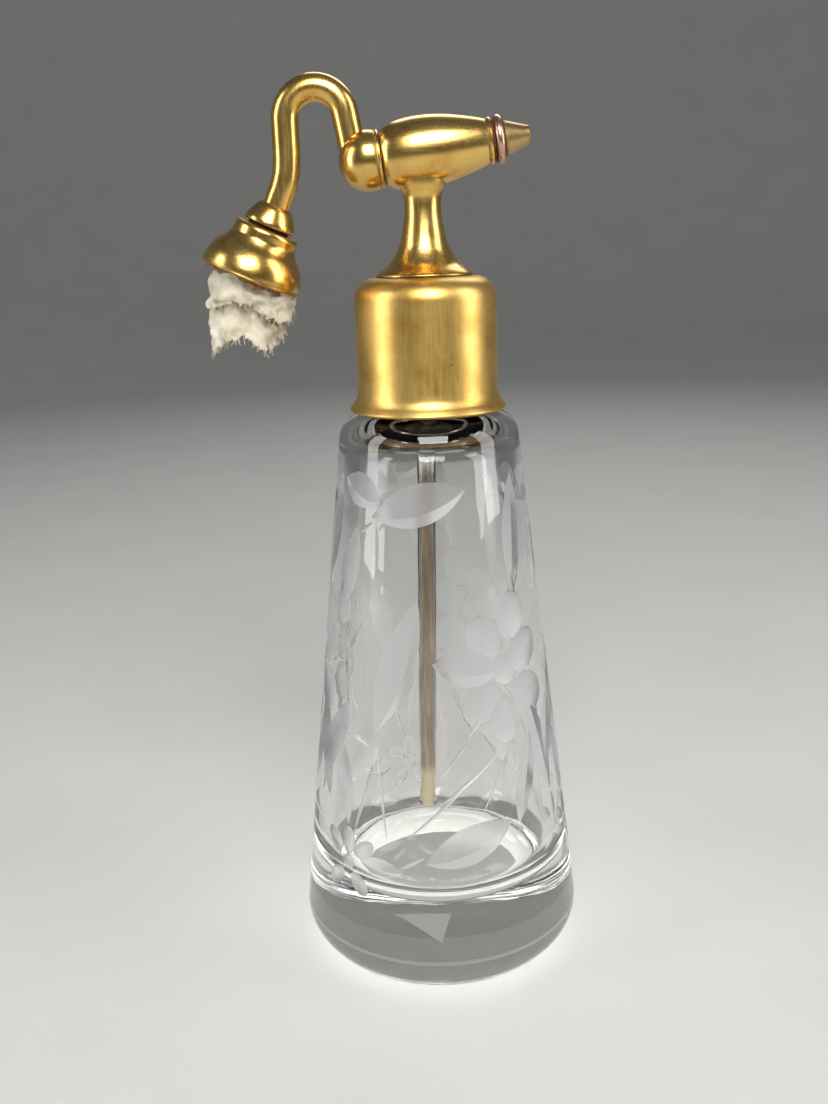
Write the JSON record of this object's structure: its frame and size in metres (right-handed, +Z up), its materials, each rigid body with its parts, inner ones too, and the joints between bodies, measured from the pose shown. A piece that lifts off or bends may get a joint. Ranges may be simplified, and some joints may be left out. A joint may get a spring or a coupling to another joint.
{
  "type": "perfume atomiser",
  "caption": "Tall tapered cut-glass perfume bottle with a screw-on brass spray head, a nozzle, a swivelling gooseneck and a bell holding the torn neck of its rubber bulb.",
  "frame": {"origin": "centre of the bottle's flat base", "axes": "+Z up the bottle's axis, +X towards the nozzle, -Y towards the viewer"},
  "size_m": [0.0643, 0.0528, 0.159],
  "materials": {
    "clear_glass": "polished, with frosted wheel cuts",
    "stained_glass": "brown residue inside",
    "gilt_brass": "satin, worn gilding with small dark spots",
    "worn_brass": "gilding worn through to a pinkish silver",
    "tarnished_brass": "dull, tarnished",
    "plaster": "matt",
    "cork": "matt",
    "red_fibre": "matt",
    "rubber": "perished, matt",
    "cotton": "matted cotton, torn"
  },
  "bodies": {
    "bottle": {"bottle": "clear_glass", "neck_cement": "plaster", "neck_ferrule": "gilt_brass"},
    "neck_seal": {"neck_washer": "cork"},
    "head": {"collar_shell": "gilt_brass", "collar_liner": "gilt_brass", "stem_locknut": "gilt_brass", "stem_column": "gilt_brass", "riser_tube": "gilt_brass", "dip_tube_gland": "rubber", "dip_tube": "stained_glass", "barrel_shell": "gilt_brass", "swivel_socket": "gilt_brass", "jet_block": "gilt_brass", "liquid_jet": "gilt_brass"},
    "nozzle_seal": {"nozzle_washer": "red_fibre"},
    "nozzle": {"nozzle_collar": "worn_brass", "nozzle_tip": "tarnished_brass"},
    "gooseneck": {"elbow_ball": "gilt_brass", "elbow_spigot": "gilt_brass", "gooseneck_tube": "gilt_brass", "tube_ferrule": "gilt_brass", "bell_nipple": "gilt_brass"},
    "bulb_seal": {"bell_washer": "red_fibre"},
    "bulb_holder": {"bulb_bell": "gilt_brass", "bulb_barb": "gilt_brass", "bulb_neck_rubber": "rubber", "bulb_cover_remnant": "cotton"}
  },
  "joints": [
    {"name": "cap_lift", "type": "slide", "parent": "bottle", "child": "neck_seal", "axis": [0, 0, 1], "range_m": [0, 0.0075]},
    {"name": "cap_turn", "type": "hinge", "parent": "neck_seal", "child": "head", "pos_m": [0, 0, 0.119], "axis": [0, 0, 1], "range_deg": [0, 1080]},
    {"name": "nozzle_out", "type": "slide", "parent": "head", "child": "nozzle_seal", "axis": [0.9925, 0, 0.1219], "range_m": [0, 0.0021]},
    {"name": "nozzle_turn", "type": "hinge", "parent": "nozzle_seal", "child": "nozzle", "pos_m": [0, 0, 0.14615], "axis": [0.9925, 0, 0.1219], "range_deg": [0, 1080]},
    {"name": "gooseneck_swivel", "type": "hinge", "parent": "head", "child": "gooseneck", "pos_m": [0, 0, 0.14615], "axis": [0.9925, 0, 0.1219], "range_deg": [-90, 90]},
    {"name": "bell_drop", "type": "slide", "parent": "gooseneck", "child": "bulb_seal", "axis": [-0.4147, 0, -0.91], "range_m": [0, 0.0016]},
    {"name": "bell_turn", "type": "hinge", "parent": "bulb_seal", "child": "bulb_holder", "pos_m": [-0.02382, 0, 0.14037], "axis": [-0.4147, 0, -0.91], "range_deg": [0, 720]}
  ],
  "couplings": [
    {"joint": "cap_turn", "follows": "cap_lift", "rad_per_m": 2513.3},
    {"joint": "nozzle_turn", "follows": "nozzle_out", "rad_per_m": 8976},
    {"joint": "bell_turn", "follows": "bell_drop", "rad_per_m": 7854}
  ]
}
